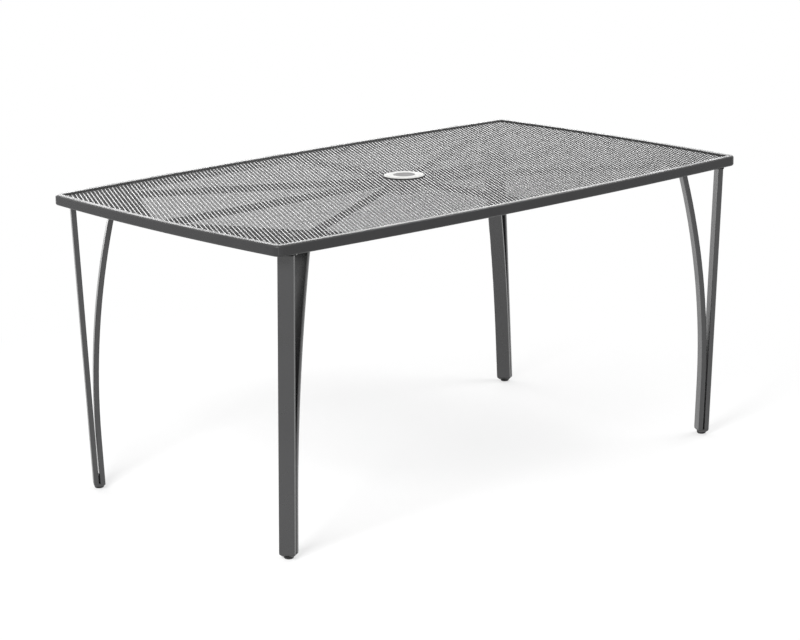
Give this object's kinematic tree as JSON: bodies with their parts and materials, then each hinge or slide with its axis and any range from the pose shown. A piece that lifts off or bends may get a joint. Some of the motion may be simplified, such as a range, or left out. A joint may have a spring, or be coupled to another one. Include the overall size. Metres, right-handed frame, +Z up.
{
  "type": "garden table",
  "caption": "Rectangular steel garden table with bowed sides, an expanded-metal top in a tube rim, forked legs of flat tube on screw-out glides and a capped parasol socket.",
  "frame": {"origin": "on the floor under the middle of the table top", "axes": "+X along the table's length, +Y across it, +Z up"},
  "size_m": [1.542, 0.9138, 0.74],
  "materials": {
    "frame_coat": "satin anthracite powder coat",
    "mesh_coat": "satin anthracite powder coat",
    "ring_plastic": "light grey moulded plastic",
    "cap_plastic": "grey moulded plastic",
    "plug_plastic": "dark grey moulded plastic",
    "glide_plastic": "black moulded plastic",
    "zinc": "bright zinc plate"
  },
  "bodies": {
    "table": {"rim_front": "frame_coat", "arm_front": "frame_coat", "rim_back": "frame_coat", "arm_back": "frame_coat", "rim_left": "frame_coat", "arm_left": "frame_coat", "rim_right": "frame_coat", "arm_right": "frame_coat", "mesh_top": "mesh_coat", "hub_collar": "frame_coat", "arm_front_left": "frame_coat", "corner_plate_front_left": "frame_coat", "gusset_front_left": "frame_coat", "leg_front_left_outer_tube": "frame_coat", "leg_front_left_inner_tube": "frame_coat", "leg_front_left_gusset_flange": "frame_coat", "leg_front_left_plate_flange": "frame_coat", "leg_front_left_foot_plug": "plug_plastic", "arm_front_right": "frame_coat", "corner_plate_front_right": "frame_coat", "gusset_front_right": "frame_coat", "leg_front_right_outer_tube": "frame_coat", "leg_front_right_inner_tube": "frame_coat", "leg_front_right_gusset_flange": "frame_coat", "leg_front_right_plate_flange": "frame_coat", "leg_front_right_foot_plug": "plug_plastic", "arm_back_left": "frame_coat", "corner_plate_back_left": "frame_coat", "gusset_back_left": "frame_coat", "leg_back_left_outer_tube": "frame_coat", "leg_back_left_inner_tube": "frame_coat", "leg_back_left_gusset_flange": "frame_coat", "leg_back_left_plate_flange": "frame_coat", "leg_back_left_foot_plug": "plug_plastic", "arm_back_right": "frame_coat", "corner_plate_back_right": "frame_coat", "gusset_back_right": "frame_coat", "leg_back_right_outer_tube": "frame_coat", "leg_back_right_inner_tube": "frame_coat", "leg_back_right_gusset_flange": "frame_coat", "leg_back_right_plate_flange": "frame_coat", "leg_back_right_foot_plug": "plug_plastic", "leg_bolts": "zinc", "weld_nuts": "zinc", "parasol_ring": "ring_plastic", "parasol_lock_nut": "ring_plastic"},
    "cap": {"parasol_cap": "cap_plastic"},
    "foot_front_left": {"glide_front_left": "glide_plastic"},
    "foot_front_right": {"glide_front_right": "glide_plastic"},
    "foot_back_left": {"glide_back_left": "glide_plastic"},
    "foot_back_right": {"glide_back_right": "glide_plastic"}
  },
  "joints": [
    {"name": "cap_lift", "type": "slide", "parent": "table", "child": "cap", "axis": [0, 0, 1], "range_m": [0, 0.04]},
    {"name": "level_front_left", "type": "slide", "parent": "table", "child": "foot_front_left", "axis": [0, 0, -1], "range_m": [0, 0.008]},
    {"name": "level_front_right", "type": "slide", "parent": "table", "child": "foot_front_right", "axis": [0, 0, -1], "range_m": [0, 0.008]},
    {"name": "level_back_left", "type": "slide", "parent": "table", "child": "foot_back_left", "axis": [0, 0, -1], "range_m": [0, 0.008]},
    {"name": "level_back_right", "type": "slide", "parent": "table", "child": "foot_back_right", "axis": [0, 0, -1], "range_m": [0, 0.008]}
  ]
}
